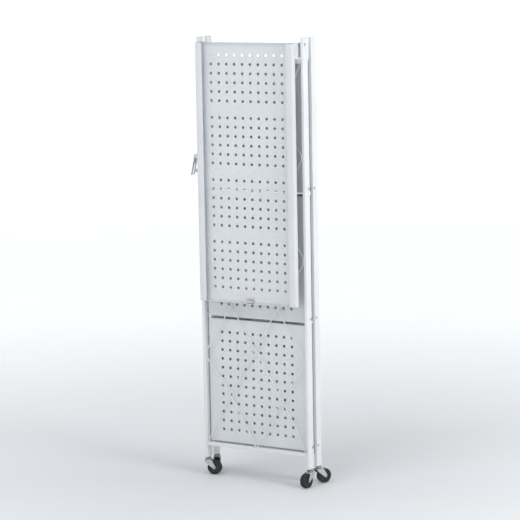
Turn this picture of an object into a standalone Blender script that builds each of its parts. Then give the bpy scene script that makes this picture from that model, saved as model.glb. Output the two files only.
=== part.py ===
"""Folding four-tier storage rack on swivel casters, modelled folded flat.

+X runs along the shelf width, +Y from the front end frame to the rear one (the way the rack
unfolds), +Z up.  Lengths are in millimetres.  Heights and places are taken from the mid plane
between the end frames and the middle of their width; SHIFT then carries the finished rack so
that the origin is on the floor, under the middle of the folded outline.  Each shelf is a pair
of half trays hinged on the end frames and on each other; the top board hinges on the front
end frame alone.
"""
import math

import bmesh
import bpy
from mathutils import Matrix, Vector

MM = 0.001                    # metres in a millimetre

# ---------------------------------------------------------------- driving dimensions
GAP = 0.3                     # clearance between neighbouring pieces
OVERCUT = 10.0                # how far cutters run past what they cut
SHORT_OVERCUT = 5.0

HALF_WIDTH = 170.0            # outer face of the posts
POST_W, POST_D = 9.0, 25.0    # tube across the rack, tube along the folding direction
TUBE_WALL, TUBE_CORNER = 1.0, 1.5
FRAME_GAP = 17.0              # clear gap between the folded end frames
POST_Z0, POST_Z1 = 56.0, 1230.5
POST_Y = FRAME_GAP / 2 + POST_D / 2       # middle of a post
POST_X = HALF_WIDTH - POST_W / 2

PIVOT_Y = 15.0                # shelf pivots
PIVOT_Z = tuple(115.0 + 355.0 * level for level in range(3))
SPAN = 337.5                  # shelf pivot to centre hinge, along the tray
TRAY_HALF_W = 156.0
SHEET_T, FLANGE_T = 1.0, 1.2
RIVET_HOLE_R = 2.4

TOP_PIVOT = (-24.5, 1214.0)   # y, z of the top board's hinge
BOARD_HALF_W = 154.0
TOP_HOLE_R = 2.9
LATCH_Z = 515.0               # top board latch tongue
CATCH_Z = 905.0               # side catch hinge

FLOOR_Z = 6.0                 # height of the floor in the heights given here
SHIFT = (5.4, 5.9, -FLOOR_Z)

SIDES = {"left": -1.0, "right": 1.0}      # sign of x
FRAMES = {"front": -1.0, "rear": 1.0}     # sign of y

# ---------------------------------------------------------------- scene and finishes
for old in list(bpy.data.objects):
    bpy.data.objects.remove(old, do_unlink=True)

PARTS = bpy.data.collections.new("folding_storage_rack")
CUTTERS = bpy.data.collections.new("cutters")
bpy.context.scene.collection.children.link(PARTS)
bpy.context.scene.collection.children.link(CUTTERS)

FINISH = {                    # base color, roughness, metallic
    "white": ((0.78, 0.80, 0.82), 0.45, 0.0),
    "zinc": ((0.62, 0.63, 0.64), 0.32, 1.0),
    "rubber": ((0.035, 0.035, 0.04), 0.7, 0.0),
    "plastic": ((0.80, 0.81, 0.82), 0.5, 0.0),
}


def finish(ob, kind):
    """Give the object a material of its own in one of the finishes."""
    color, roughness, metallic = FINISH[kind]
    mat = bpy.data.materials.new(f"{ob.name}_{kind}")
    mat.use_nodes = True
    shader = mat.node_tree.nodes["Principled BSDF"]
    shader.inputs["Base Color"].default_value = (*color, 1.0)
    shader.inputs["Roughness"].default_value = roughness
    shader.inputs["Metallic"].default_value = metallic
    mat.diffuse_color = (*color, 1.0)
    ob.data.materials.append(mat)


# ---------------------------------------------------------------- helpers
IDENTITY = Matrix.Identity(4)
AXIS_TURN = {                 # carries local z onto the named axis
    "x": Matrix.Rotation(math.pi / 2, 4, "Y"),
    "y": Matrix.Rotation(-math.pi / 2, 4, "X"),
    "z": IDENTITY,
}
# lay an outline drawn in x, y on the planes of the rack
OUTLINE_IN_YZ = Matrix(((0, 0, 1, 0), (1, 0, 0, 0), (0, 1, 0, 0), (0, 0, 0, 1)))
OUTLINE_IN_XZ = Matrix(((1, 0, 0, 0), (0, 0, 1, 0), (0, 1, 0, 0), (0, 0, 0, 1)))
OUTLINE_STOOD_UP = Matrix(((1, 0, 0, 0), (0, 0, -1, 0), (0, 1, 0, 0), (0, 0, 0, 1)))

CURVE_MERGE = 0.0005          # merge distance in meshes made from curves
TURN_MERGE = 0.00001          # merge distance on the axis of turned pieces, in metres


def placed(origin, turn):
    return Matrix.Translation(Vector(origin) * MM) @ turn


def link(name, mesh, coll, origin=(0, 0, 0), turn=IDENTITY):
    """An object whose mesh is given in millimetres in its own frame."""
    mesh.transform(Matrix.Scale(MM, 4))
    ob = bpy.data.objects.new(name, mesh)
    ob.matrix_world = placed(origin, turn)
    coll.objects.link(ob)
    if coll is CUTTERS:
        ob.hide_render = True
        ob.display_type = "WIRE"
    return ob


def to_mesh(name, bm):
    bmesh.ops.recalc_face_normals(bm, faces=bm.faces)
    mesh = bpy.data.meshes.new(name)
    bm.to_mesh(mesh)
    bm.free()
    return mesh


def box(name, low, high, origin=(0, 0, 0), turn=IDENTITY, coll=CUTTERS,
        round_along=None, radius=TUBE_CORNER):
    """A box from corner to corner; the edges along one axis can be rounded."""
    bm = bmesh.new()
    low, high = Vector(low), Vector(high)
    size, middle = high - low, (high + low) / 2
    bmesh.ops.create_cube(
        bm, size=1.0, matrix=Matrix.Translation(middle) @ Matrix.Diagonal((*size, 1)))
    if round_along:
        axis = "xyz".index(round_along)
        edges = [e for e in bm.edges
                 if abs((e.verts[0].co - e.verts[1].co).normalized()[axis]) > 0.99]
        bmesh.ops.bevel(bm, geom=edges, offset=radius, segments=2, affect="EDGES", profile=0.5)
    return link(name, to_mesh(name, bm), coll, origin, turn)


def rod(name, axis, centre, radius, length, origin=(0, 0, 0), turn=IDENTITY, coll=CUTTERS,
        sides=10):
    bm = bmesh.new()
    bmesh.ops.create_cone(bm, cap_ends=True, segments=sides, radius1=radius, radius2=radius,
                          depth=length, matrix=Matrix.Translation(centre) @ AXIS_TURN[axis])
    return link(name, to_mesh(name, bm), coll, origin, turn)


def turned(name, profile, sides, origin, turn=IDENTITY, ring=False):
    """A turned part: profile points are (radius, height); a ring's profile is closed."""
    bm = bmesh.new()
    verts = [bm.verts.new((radius, 0, z)) for radius, z in profile]
    for pair in zip(verts, verts[1:]):
        bm.edges.new(pair)
    if ring:
        bm.edges.new((verts[-1], verts[0]))
    mesh = bpy.data.meshes.new(name)
    bm.to_mesh(mesh)
    bm.free()
    ob = link(name, mesh, PARTS, origin, turn)
    screw = ob.modifiers.new("turn", "SCREW")
    screw.axis = "Z"
    screw.angle = 2 * math.pi
    screw.steps = screw.render_steps = sides
    screw.use_merge_vertices = True
    screw.merge_threshold = TURN_MERGE
    screw.use_smooth_shade = False
    return ob


def mirrored(upper):
    """A whole profile from its upper half."""
    return upper + [(radius, -z) for radius, z in reversed(upper)]


def curve_mesh(name, curve, points, closed):
    """The mesh of a curve run through the points."""
    spline = curve.splines.new("POLY")
    spline.points.add(len(points) - 1)
    for spline_point, point in zip(spline.points, points):
        spline_point.co = (*point, 1)
    spline.use_cyclic_u = closed
    holder = bpy.data.objects.new(name + "_curve", curve)
    CUTTERS.objects.link(holder)
    bpy.context.view_layer.update()
    depsgraph = bpy.context.evaluated_depsgraph_get()
    raw = bpy.data.meshes.new_from_object(holder.evaluated_get(depsgraph))
    bpy.data.objects.remove(holder, do_unlink=True)
    bm = bmesh.new()
    bm.from_mesh(raw)
    bpy.data.meshes.remove(raw)
    bmesh.ops.remove_doubles(bm, verts=bm.verts, dist=CURVE_MERGE)
    return to_mesh(name, bm)


def plate(name, outline, thickness, origin, turn):
    """A flat plate cutter from a closed outline in its own XY plane, centred on it."""
    curve = bpy.data.curves.new(name, "CURVE")
    curve.dimensions = "2D"
    curve.fill_mode = "BOTH"
    curve.extrude = thickness / 2
    mesh = curve_mesh(name, curve, [(x, y, 0) for x, y in outline], closed=True)
    return link(name, mesh, CUTTERS, origin, turn)


def wire(name, points, radius, coll):
    """A round wire through points, with closed ends."""
    curve = bpy.data.curves.new(name, "CURVE")
    curve.dimensions = "3D"
    curve.bevel_depth = radius
    curve.bevel_resolution = 2
    curve.use_fill_caps = True
    return link(name, curve_mesh(name, curve, points, closed=False), coll)


def arc(centre_x, centre_y, radius, start, end, steps):
    """Points along an arc between two angles in degrees."""
    angles = [math.radians(start + (end - start) * k / steps) for k in range(steps + 1)]
    return [(centre_x + radius * math.cos(a), centre_y + radius * math.sin(a)) for a in angles]


def boolean(ob, other, operation):
    mod = ob.modifiers.new(operation.lower() + "_" + other.name, "BOOLEAN")
    mod.operation = operation
    mod.solver = "EXACT"
    mod.object = other


def cut(ob, other):
    boolean(ob, other, "DIFFERENCE")


def join(ob, other):
    boolean(ob, other, "UNION")


def pivot(name, origin, turn=IDENTITY):
    """An empty on a joint axis, which carries the pieces that turn there."""
    empty = bpy.data.objects.new(name, None)
    empty.empty_display_size = 0.02
    empty.matrix_world = placed(origin, turn)
    PARTS.objects.link(empty)
    return empty


def carry(parent, *children):
    bpy.context.view_layer.update()
    for child in children:
        child.parent = parent
        child.matrix_parent_inverse = parent.matrix_world.inverted()


# ---------------------------------------------------------------- end frames
POST_HOLE_CUT = 30.0          # length of the cutters of the rivet holes
CAP_T = 1.5
PLUG_INSET, PLUG_DEPTH = 1.4, 9.0
PLUG_OVERLAP = 0.6            # plug into cap
LOWER_BAR_HEIGHT, LOWER_BAR_TOP = 10.0, 100.3
UPPER_BAR_Z = (1163.0, 1172.6)
BAR_HALF = HALF_WIDTH - POST_W - GAP
WIRE_R, WIRE_Y = 1.4, 31.9
WIRE_END_GAP = GAP + 0.8      # wire ends to crossbars
WIRE_POST_RUN = 34.0          # straight run up the post at a turn
WIRE_OFF_CENTRE = (2.2, 1.0)  # the half-width wires, at their ends and at mid height


def make_post(frame, side):
    y_sign, x_sign = FRAMES[frame], SIDES[side]
    name = f"{frame}_{side}_post"
    origin = (x_sign * POST_X, y_sign * POST_Y, POST_Z0)
    height = POST_Z1 - POST_Z0
    half_w, half_d = POST_W / 2, POST_D / 2
    post = box(name, (-half_w, -half_d, 0), (half_w, half_d, height), origin, coll=PARTS,
               round_along="z")
    cut(post, box(name + "_bore",
                  (-half_w + TUBE_WALL, -half_d + TUBE_WALL, -SHORT_OVERCUT),
                  (half_w - TUBE_WALL, half_d - TUBE_WALL, height + SHORT_OVERCUT), origin))
    for i, z in enumerate(PIVOT_Z):
        cut(post, rod(f"{name}_hole_{i}", "x", (x_sign * POST_X, y_sign * PIVOT_Y, z),
                      RIVET_HOLE_R, POST_HOLE_CUT))
    if frame == "front":
        cut(post, rod(f"{name}_hole_top", "x", (x_sign * POST_X, *TOP_PIVOT),
                      TOP_HOLE_R, POST_HOLE_CUT))
    finish(post, "white")


def make_cap(frame, side):
    name = f"{frame}_{side}_post_cap"
    origin = (SIDES[side] * POST_X, FRAMES[frame] * POST_Y, POST_Z1)
    half_w, half_d = POST_W / 2, POST_D / 2
    cap = box(name, (-half_w, -half_d, GAP), (half_w, half_d, GAP + CAP_T), origin, coll=PARTS,
              round_along="z")
    join(cap, box(name + "_plug", (-half_w + PLUG_INSET, -half_d + PLUG_INSET, -PLUG_DEPTH),
                  (half_w - PLUG_INSET, half_d - PLUG_INSET, GAP + PLUG_OVERLAP), origin))
    finish(cap, "plastic")


def make_bar(name, frame, z0, z1):
    origin = (0, FRAMES[frame] * POST_Y, (z0 + z1) / 2)
    half_h, half_d = (z1 - z0) / 2, POST_D / 2
    bar = box(name, (-BAR_HALF, -half_d, -half_h), (BAR_HALF, half_d, half_h), origin,
              coll=PARTS, round_along="x")
    cut(bar, box(name + "_bore",
                 (-BAR_HALF - SHORT_OVERCUT, -half_d + TUBE_WALL, -half_h + TUBE_WALL),
                 (BAR_HALF + SHORT_OVERCUT, half_d - TUBE_WALL, half_h - TUBE_WALL), origin))
    finish(bar, "white")


def zigzag(half, xs, y, zs):
    """Points of a zigzag wire, with a straight run wherever it meets a post at x = +-half."""
    points = []
    for x, z in zip(xs, zs):
        if abs(x) == half:
            low = z if z == zs[0] else z - WIRE_POST_RUN / 2
            high = z if z == zs[-1] else z + WIRE_POST_RUN / 2
            points += [(x, y, low), (x, y, high)]
        else:
            points.append((x, y, z))
    return points


def make_lattice(frame):
    y_sign = FRAMES[frame]
    z0, z1 = LOWER_BAR_TOP + WIRE_END_GAP, UPPER_BAR_Z[0] - WIRE_END_GAP
    quarter = (z1 - z0) / 4
    half = BAR_HALF - WIRE_R - GAP
    end_x, mid_x = WIRE_OFF_CENTRE
    full_zs = [z0, z0 + 2 * quarter, z1]
    half_zs = [z0, z0 + quarter, z0 + 2 * quarter, z0 + 3 * quarter, z1]
    name = f"{frame}_wire_lattice"
    # tag, x and z stations, and a small offset toward the mid plane, different for each wire
    wires = (
        ("", (-half, half, -half), full_zs, 0.0),
        ("_b", (half, -half, half), full_zs, 0.13),
        ("_c", (end_x, half, -mid_x, half, end_x), half_zs, -0.21),
        ("_d", (-end_x, -half, mid_x, -half, -end_x), half_zs, 0.34),
    )
    lattice = None
    for tag, xs, zs, inward in wires:
        points = zigzag(half, xs, y_sign * WIRE_Y - y_sign * inward, zs)
        if lattice:
            join(lattice, wire(name + tag, points, WIRE_R, CUTTERS))
        else:
            lattice = wire(name + tag, points, WIRE_R, PARTS)
    finish(lattice, "white")


for frame in FRAMES:
    for side in SIDES:
        make_post(frame, side)
        make_cap(frame, side)
    make_bar(f"{frame}_lower_crossbar", frame, LOWER_BAR_TOP - LOWER_BAR_HEIGHT, LOWER_BAR_TOP)
    make_bar(f"{frame}_upper_crossbar", frame, *UPPER_BAR_Z)
    make_lattice(frame)


# ---------------------------------------------------------------- rivets
HEAD_T, TAIL_T = 1.6, 1.4
HEAD_TAPER, TAIL_TAPER = 0.62, 0.6        # end radius over full radius


def make_rivet(name, side, y, z, flange_x, shank, head, tail, collar):
    """A shouldered rivet through post and flange, along X; the last four are radii."""
    x_sign = SIDES[side]
    # local height 0 is the flange's outer face
    head_z = HALF_WIDTH - flange_x + GAP
    post_inner = HALF_WIDTH - flange_x - POST_W - GAP
    tail_z = -FLANGE_T - GAP
    profile = [
        (0, head_z + HEAD_T), (head * HEAD_TAPER, head_z + HEAD_T), (head, head_z),
        (shank, head_z), (shank, post_inner), (collar, post_inner), (collar, GAP), (shank, GAP),
        (shank, tail_z), (tail, tail_z), (tail * TAIL_TAPER, tail_z - TAIL_T),
        (0, tail_z - TAIL_T)]
    rivet = turned(name, profile, 8, (x_sign * flange_x, y, z),
                   Matrix.Rotation(x_sign * math.pi / 2, 4, "Y"))
    finish(rivet, "zinc")


for frame, y_sign in FRAMES.items():
    for side in SIDES:
        for i, z in enumerate(PIVOT_Z):
            make_rivet(f"{frame}_{side}_pivot_rivet_{i + 1}", side, y_sign * PIVOT_Y, z,
                       TRAY_HALF_W, shank=2.0, head=3.6, tail=3.6, collar=3.5)
for side in SIDES:
    make_rivet(f"top_{side}_hinge_rivet", side, *TOP_PIVOT,
               BOARD_HALF_W, shank=2.5, head=4.2, tail=4.5, collar=4.5)


# ---------------------------------------------------------------- half trays, centre hinges
TRAY_FACE_Y = 20.5            # outer face of the tray sheet
TRAY_BELOW = 13.2             # sheet below the shelf pivot
TRAY_ABOVE = SPAN - GAP       # sheet above the shelf pivot
FLANGE_Y = 1.0                # flange edge
WELL_PAST_EDGE = 8.0          # well cutter past the flange edge
HEEL = (                      # heel cutter: distance from the mid plane, height over the pivot
    (TRAY_FACE_Y - SHEET_T, -TRAY_BELOW - OVERCUT), (TRAY_FACE_Y - SHEET_T, -10.0),
    (10.0, -10.0), (-2.0, 3.3), (-2.0, -TRAY_BELOW - OVERCUT))
KNUCKLES = {                  # x range of each tray's knuckles
    "front": [(-153.8, -140.2), (-8.0, 8.0), (140.2, 153.8)],
    "rear": [(-139.4, -125.8), (-22.4, -8.8), (8.8, 22.4), (125.8, 139.4)],
}
KNUCKLE_R, RELIEF_R = 3.0, 3.5
RELIEF_EXTRA = 0.8            # relief length over the knuckle's
HINGE_ROD_R, HINGE_ROD_HALF = 1.5, 154.3
ROD_BORE_R, ROD_BORE_SHORT = 1.9, 0.1     # bore, and how much shorter it is than the well


def make_tray(level, frame):
    y_sign = FRAMES[frame]
    other = "rear" if frame == "front" else "front"
    name = f"shelf_{level + 1}_{frame}_tray"
    origin = (0, y_sign * PIVOT_Y, PIVOT_Z[level])    # on the tray's own pivot

    def local_y(distance):
        """A distance from the mid plane, as y relative to the pivot."""
        return y_sign * (distance - PIVOT_Y)

    y0, y1 = sorted((local_y(TRAY_FACE_Y), local_y(FLANGE_Y)))
    tray = box(name, (-TRAY_HALF_W, y0, -TRAY_BELOW), (TRAY_HALF_W, y1, TRAY_ABOVE), origin,
               coll=PARTS)
    y0, y1 = sorted((local_y(TRAY_FACE_Y - SHEET_T), local_y(FLANGE_Y - WELL_PAST_EDGE)))
    well_half = TRAY_HALF_W - FLANGE_T
    cut(tray, box(name + "_well", (-well_half, y0, -TRAY_BELOW - OVERCUT),
                  (well_half, y1, TRAY_ABOVE - FLANGE_T), origin))
    cut(tray, plate(name + "_heel", [(local_y(y), z) for y, z in HEEL],
                    2 * (TRAY_HALF_W + OVERCUT), origin, OUTLINE_IN_YZ))
    hinge_y = -y_sign * PIVOT_Y
    for k, (x0, x1) in enumerate(KNUCKLES[other]):
        cut(tray, rod(f"{name}_relief_{k}", "x", ((x0 + x1) / 2, hinge_y, SPAN), RELIEF_R,
                      x1 - x0 + RELIEF_EXTRA, origin))
    for k, (x0, x1) in enumerate(KNUCKLES[frame]):
        join(tray, rod(f"{name}_knuckle_{k}", "x", ((x0 + x1) / 2, hinge_y, SPAN), KNUCKLE_R,
                       x1 - x0, origin))
    cut(tray, rod(f"{name}_rod_bore", "x", (0, hinge_y, SPAN), ROD_BORE_R,
                  2 * well_half - ROD_BORE_SHORT, origin, sides=8))
    cut(tray, rod(f"{name}_rivet_bore", "x", (0, 0, 0), RIVET_HOLE_R,
                  2 * (TRAY_HALF_W + OVERCUT), origin))
    finish(tray, "white")
    return tray


def make_shelf(level):
    name = f"shelf_{level + 1}"
    hinge = (0, 0, PIVOT_Z[level] + SPAN)
    front, rear = make_tray(level, "front"), make_tray(level, "rear")
    hinge_rod = rod(f"{name}_hinge_rod", "x", (0, 0, 0), HINGE_ROD_R, 2 * HINGE_ROD_HALF, hinge,
                    coll=PARTS, sides=8)
    finish(hinge_rod, "zinc")
    front_pivot = pivot(f"pivot_{name}_front", (0, -PIVOT_Y, PIVOT_Z[level]))
    centre_pivot = pivot(f"pivot_{name}_centre", hinge)
    carry(front_pivot, front, hinge_rod)
    carry(centre_pivot, rear)
    carry(front_pivot, centre_pivot)


for level in range(len(PIVOT_Z)):
    make_shelf(level)


# ---------------------------------------------------------------- top board and its latch
BOARD_Z0, BOARD_Z1 = 507.0, 1219.5
BOARD_FACE_Y = -50.0          # sheet face that looks into the channel
BOARD_BACK_Y = BOARD_FACE_Y + SHEET_T
BOARD_LIP_Y, BOARD_LIP_T = -65.0, 1.1
BOARD_LIP_IN = 133.0          # inner edge of the return lip
MOUTH_DEPTH = 3.0             # mouth cutter past the lip face
END_LIP_T, END_LIP_DEPTH = 1.2, 7.5
END_LIP_INSET = 0.1           # end lips in from the ends of the channel
END_LIP_OVERLAP = 0.5         # end lips into flanges and sheet
EAR_Z0, EAR_Z1 = 1178.5, BOARD_Z1 - 0.2
EAR_Y0, EAR_Y1 = BOARD_BACK_Y - 0.6, -17.0
EAR_LOW_R, EAR_HIGH_R = 8.0, 4.0          # rounded corners
EAR_INSET = 0.1               # ear faces in from the flange faces

HOUSING_FRONT_Y = BOARD_FACE_Y - GAP      # housing face next to the sheet
SLOT_HALF_W, SLOT_HALF_H = 6.8, 1.15
CROSSBAR_SLOT = (7.2, 1.6, 3.0)           # half sizes of the cutter


def make_board():
    pivot_y, pivot_z = TOP_PIVOT
    origin = (0, pivot_y, pivot_z)
    channel_half = BOARD_HALF_W - FLANGE_T

    def board_box(name, low, high, coll=CUTTERS):
        """A box with the board's origin, from corners given in the rack's frame."""
        low, high = ([a - b for a, b in zip(corner, origin)] for corner in (low, high))
        return box(name, low, high, origin, coll=coll)

    board = board_box("top_board", (-BOARD_HALF_W, BOARD_LIP_Y, BOARD_Z0),
                      (BOARD_HALF_W, BOARD_BACK_Y, BOARD_Z1), PARTS)
    cut_z0, cut_z1 = BOARD_Z0 - SHORT_OVERCUT, BOARD_Z1 + SHORT_OVERCUT
    cut(board, board_box("board_channel", (-channel_half, BOARD_LIP_Y + BOARD_LIP_T, cut_z0),
                         (channel_half, BOARD_FACE_Y, cut_z1)))
    cut(board, board_box("board_mouth", (-BOARD_LIP_IN, BOARD_LIP_Y - SHORT_OVERCUT, cut_z0),
                         (BOARD_LIP_IN, BOARD_LIP_Y + MOUTH_DEPTH, cut_z1)))
    # end lips, across both ends of the channel
    lip_half = channel_half + END_LIP_OVERLAP
    low_z, high_z = BOARD_Z0 + END_LIP_INSET, BOARD_Z1 - END_LIP_INSET
    for end, z0, z1 in (("low", low_z, low_z + END_LIP_T), ("high", high_z - END_LIP_T, high_z)):
        join(board, board_box(f"board_{end}_lip", (-lip_half, BOARD_FACE_Y - END_LIP_DEPTH, z0),
                              (lip_half, BOARD_FACE_Y + END_LIP_OVERLAP, z1)))
    # ears, which carry the hinge rivets
    corners = (arc(EAR_Y1 - EAR_LOW_R, EAR_Z0 + EAR_LOW_R, EAR_LOW_R, -90, 0, 6)
               + arc(EAR_Y1 - EAR_HIGH_R, EAR_Z1 - EAR_HIGH_R, EAR_HIGH_R, 0, 90, 3))
    outline = [(y - pivot_y, z - pivot_z)
               for y, z in [(EAR_Y0, EAR_Z0)] + corners + [(EAR_Y0, EAR_Z1)]]
    for side, x_sign in SIDES.items():
        x0, x1 = sorted((x_sign * (channel_half + EAR_INSET),
                         x_sign * (BOARD_HALF_W - EAR_INSET)))
        join(board, plate(f"board_{side}_ear", outline, x1 - x0,
                          ((x0 + x1) / 2, pivot_y, pivot_z), OUTLINE_IN_YZ))
    cut(board, rod("board_pivot_bore", "x", (0, 0, 0), TOP_HOLE_R,
                   2 * (BOARD_HALF_W + OVERCUT), origin))
    finish(board, "white")
    return board


def make_latch_housing():
    """A guide for the tongue, inside the channel near the board's free end."""
    y = HOUSING_FRONT_Y
    house = box("board_latch_housing", (-12.5, y - 8.0, LATCH_Z - 5.0),
                (12.5, y, LATCH_Z + 4.0), coll=PARTS, round_along="y", radius=1.5)
    cut(house, box("housing_slot", (-SLOT_HALF_W, y - 12.0, LATCH_Z - SLOT_HALF_H),
                   (SLOT_HALF_W, y + 4.0, LATCH_Z + SLOT_HALF_H)))
    finish(house, "zinc")
    return house


def make_latch_tongue():
    """A flat bolt with a finger tab."""
    tongue = box("board_latch_tongue", (-6.3, -70.5, LATCH_Z - 0.75),
                 (6.3, HOUSING_FRONT_Y - 5.7, LATCH_Z + 0.75), coll=PARTS)
    join(tongue, box("tongue_tab", (-9.0, -65.3, LATCH_Z - 2.4), (9.0, -63.9, LATCH_Z + 3.2)))
    finish(tongue, "zinc")
    return tongue


def cut_latch_slot():
    """The slot in the rear upper crossbar, where the tongue lands when the rack is open."""
    rear_travel = 2 * SPAN - 2 * PIVOT_Y      # of the rear frame, as the rack opens
    slot_y = TOP_PIVOT[0] + (TOP_PIVOT[1] - LATCH_Z) - rear_travel
    half_x, half_y, half_z = CROSSBAR_SLOT
    top = UPPER_BAR_Z[1]
    cut(bpy.data.objects["rear_upper_crossbar"],
        box("crossbar_latch_slot", (-half_x, slot_y - half_y, top - half_z),
            (half_x, slot_y + half_y, top + half_z)))


board_parts = make_board(), make_latch_housing(), make_latch_tongue()
carry(pivot("pivot_top_board", (0, *TOP_PIVOT)), *board_parts)
cut_latch_slot()


# ---------------------------------------------------------------- side catch
LONG_CUT = 60.0               # length of the pin and axle bore cutters
CATCH_X = -183.0
CATCH_Y0, CATCH_Y1 = -33.0, -11.0
CATCH_Y = (CATCH_Y0 + CATCH_Y1) / 2
CATCH_LEAN = 13.0             # how far the catch stands open, folded, in degrees
BRACKET_X = -HALF_WIDTH - GAP             # bracket face next to the post
BRACKET_T, BRACKET_HALF_H = 1.4, 11.0
CATCH_EAR_R, CATCH_EAR_ROOT = 4.2, 8.5    # rounded tip, half height at the base
CATCH_PIN_R, CATCH_PIN_BORE_R, BARREL_R = 1.6, 2.0, 3.2
LEVER_HALF_W = (CATCH_Y1 - CATCH_Y0) / 2 - BRACKET_T - 0.5
HOOK_Y = POST_Y + 3.2 - CATCH_Y           # near face of the hook, from the lever's middle
LEVER_PIECES = (              # name, low corner and high corner in the lever's frame
    ("catch_finger_1", (-2.4, -LEVER_HALF_W, -57.0), (-0.9, -LEVER_HALF_W + 7.0, 0.0)),
    ("catch_finger_2", (-2.4, LEVER_HALF_W - 6.0, -57.0), (-0.9, LEVER_HALF_W, 0.0)),
    ("catch_web", (-2.4, -LEVER_HALF_W + 1.0, -24.0), (-0.9, LEVER_HALF_W - 1.0, -1.0)),
    ("catch_arm", (-2.3, LEVER_HALF_W - 3.0, -51.0), (-1.0, HOOK_Y + 2.0, -41.0)),
    ("catch_hook", (-2.0, HOOK_Y, -50.9), (10.0, HOOK_Y + 1.9, -41.1)),
)


def make_catch_bracket():
    """A base on the outer face of the front left post, two ears and the pin between them."""
    base = box("side_catch_bracket",
               (BRACKET_X - BRACKET_T, CATCH_Y0, CATCH_Z - BRACKET_HALF_H),
               (BRACKET_X, CATCH_Y1, CATCH_Z + BRACKET_HALF_H), coll=PARTS)
    root_x = BRACKET_X - 0.4
    outline = ([(root_x, CATCH_EAR_ROOT)] + arc(CATCH_X, 0, CATCH_EAR_R, 90, 270, 5)
               + [(root_x, -CATCH_EAR_ROOT)])
    for k, (y0, y1) in enumerate(((CATCH_Y0, CATCH_Y0 + BRACKET_T),
                                  (CATCH_Y1 - BRACKET_T, CATCH_Y1))):
        join(base, plate(f"catch_ear_{k}", outline, y1 - y0, (0, (y0 + y1) / 2, CATCH_Z),
                         OUTLINE_IN_XZ))
    join(base, rod("catch_pin", "y", (CATCH_X, CATCH_Y, CATCH_Z), CATCH_PIN_R,
                   CATCH_Y1 - CATCH_Y0 - 0.2))
    finish(base, "zinc")


def make_catch_lever():
    """Two fingers on a barrel, and a hooked arm that reaches to the rear post."""
    place = (CATCH_X, CATCH_Y, CATCH_Z), Matrix.Rotation(math.radians(CATCH_LEAN), 4, "Y")
    lever = rod("side_catch_lever", "y", (0, 0, 0), BARREL_R, 2 * LEVER_HALF_W, *place,
                coll=PARTS)
    for name, low, high in LEVER_PIECES:
        join(lever, box(name, low, high, *place))
    cut(lever, rod("catch_pin_bore", "y", (0, 0, 0), CATCH_PIN_BORE_R, LONG_CUT, *place))
    finish(lever, "zinc")
    carry(pivot("pivot_side_catch", *place), lever)


def make_keeper():
    """A stud on the rear left post: the closed catch's hook drops behind it."""
    profile = [(0, 6.8), (3.0, 6.8), (3.0, 6.0), (2.0, 6.0), (2.0, 1.0), (4.2, 1.0), (4.2, 0),
               (0, 0)]
    keeper = turned("side_catch_keeper", profile, 10,
                    (BRACKET_X, POST_Y - 0.4, CATCH_Z - 46.0),
                    Matrix.Rotation(-math.pi / 2, 4, "Y"))
    finish(keeper, "zinc")


make_catch_bracket()
make_catch_lever()
make_keeper()


# ---------------------------------------------------------------- casters
WHEEL_R, WHEEL_HALF_W = 20.0, 8.0
AXLE_Z = FLOOR_Z + WHEEL_R
TRAIL = 18.0                  # swivel axis to axle
CASTER_Y = 22.0               # swivel axis
SWIVEL_Z = 48.0
FORK_IN, FORK_T = 8.8, 1.4    # inner face and thickness of a cheek
FORK_OUT = FORK_IN + FORK_T
CROWN_X, CROWN_Z, CROWN_CORNER = (-10.5, 11.0), (46.6, 48.6), 4.0
STEM_BORE_R, STEM_BORE_CUT, AXLE_BORE_R = 3.6, 20.0, 2.8
CASTER_TURN = {               # degrees about z
    "front_left": 17.0, "front_right": -97.0, "rear_left": 125.0, "rear_right": 65.0}

# turned profiles: radius, height
STEM = [
    (0, 84.0), (3.0, 84.0), (3.1, POST_Z0 - GAP), (7.6, POST_Z0 - GAP), (7.6, 54.0),
    (4.6, 53.8), (4.6, 53.2), (10.0, 51.8), (8.4, 49.0), (3.1, 49.0), (3.1, 46.2), (4.6, 46.2),
    (4.2, 45.0), (0, 45.0)]
HEAD_Z = FORK_OUT + GAP       # under the axle's heads
AXLE = mirrored([(0, HEAD_Z + 1.1), (2.6, HEAD_Z + 1.1), (3.6, HEAD_Z), (2.35, HEAD_Z)])
WHEEL = mirrored([
    (2.8, WHEEL_HALF_W), (6.0, WHEEL_HALF_W - 1.6), (13.4, WHEEL_HALF_W - 1.8),
    (16.6, WHEEL_HALF_W), (WHEEL_R, WHEEL_HALF_W - 2.6)])
# tapering cheek of the fork, rounded below the axle: x, z
CHEEK = ([(-9.5, 47.5), (-8.8, 42.0)] + arc(TRAIL, AXLE_Z, 4.6, -152, 22, 5)
         + [(13.0, 44.5), (10.5, 47.5)])


def make_fork(key, origin, spin):
    """A crown plate with two cheeks."""
    fork = box(f"{key}_caster_fork", (CROWN_X[0], -FORK_OUT, CROWN_Z[0]),
               (CROWN_X[1], FORK_OUT, CROWN_Z[1]), origin, spin, PARTS, "z", CROWN_CORNER)
    for k, sign in enumerate((-1, 1)):
        cheek_y = sign * (FORK_IN + FORK_T / 2)
        cheek_turn = spin @ Matrix.Translation((0, cheek_y * MM, 0)) @ OUTLINE_STOOD_UP
        join(fork, plate(f"{key}_cheek_{k}", CHEEK, FORK_T, origin, cheek_turn))
    cut(fork, rod(f"{key}_fork_bore", "z", (0, 0, SWIVEL_Z), STEM_BORE_R, STEM_BORE_CUT,
                  origin, spin, sides=12))
    cut(fork, rod(f"{key}_axle_bore", "y", (TRAIL, 0, AXLE_Z), AXLE_BORE_R, LONG_CUT,
                  origin, spin))
    finish(fork, "zinc")
    return fork


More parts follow.
